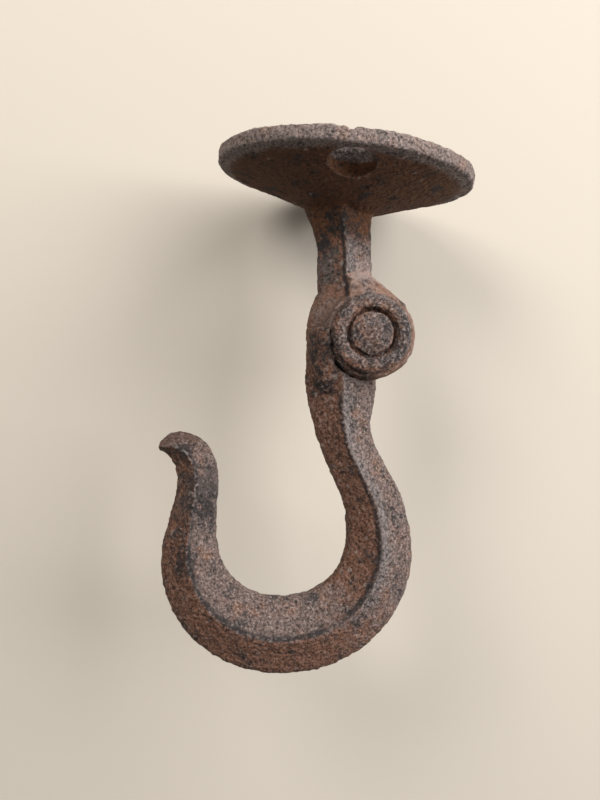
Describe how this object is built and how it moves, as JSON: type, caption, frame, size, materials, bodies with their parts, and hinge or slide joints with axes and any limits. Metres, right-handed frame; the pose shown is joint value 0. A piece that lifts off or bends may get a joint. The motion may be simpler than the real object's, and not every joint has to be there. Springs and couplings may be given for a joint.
{
  "type": "swivelling ceiling hook",
  "caption": "Cast-iron J-shaped hook hinged by a rivet and cups under a round conical screw plate.",
  "frame": {"origin": "centre of the plate's flat mounting face", "axes": "+Z is the plate's axis and points into the surface it is screwed to; everything hangs toward -Z; the hook lies in the XZ plane and opens toward -X"},
  "size_m": [0.0666, 0.06, 0.1208],
  "materials": {
    "plate_iron": "raw casting, brown with rust, matt",
    "hook_iron": "raw casting, grey-brown with rust patches, matt",
    "rivet_iron": "raw casting, grey-brown, matt",
    "cup_iron": "raw casting, dark grey-brown, matt"
  },
  "bodies": {
    "mount": {"plate_and_stem": "plate_iron", "rivet": "rivet_iron", "cup_front": "cup_iron", "cup_back": "cup_iron"},
    "hook": {"hook": "hook_iron"}
  },
  "joints": [
    {"name": "hook_swing", "type": "hinge", "parent": "mount", "child": "hook", "pos_m": [0.0091, 0, -0.0395], "axis": [0, -1, 0], "range_deg": [0, 110]}
  ]
}
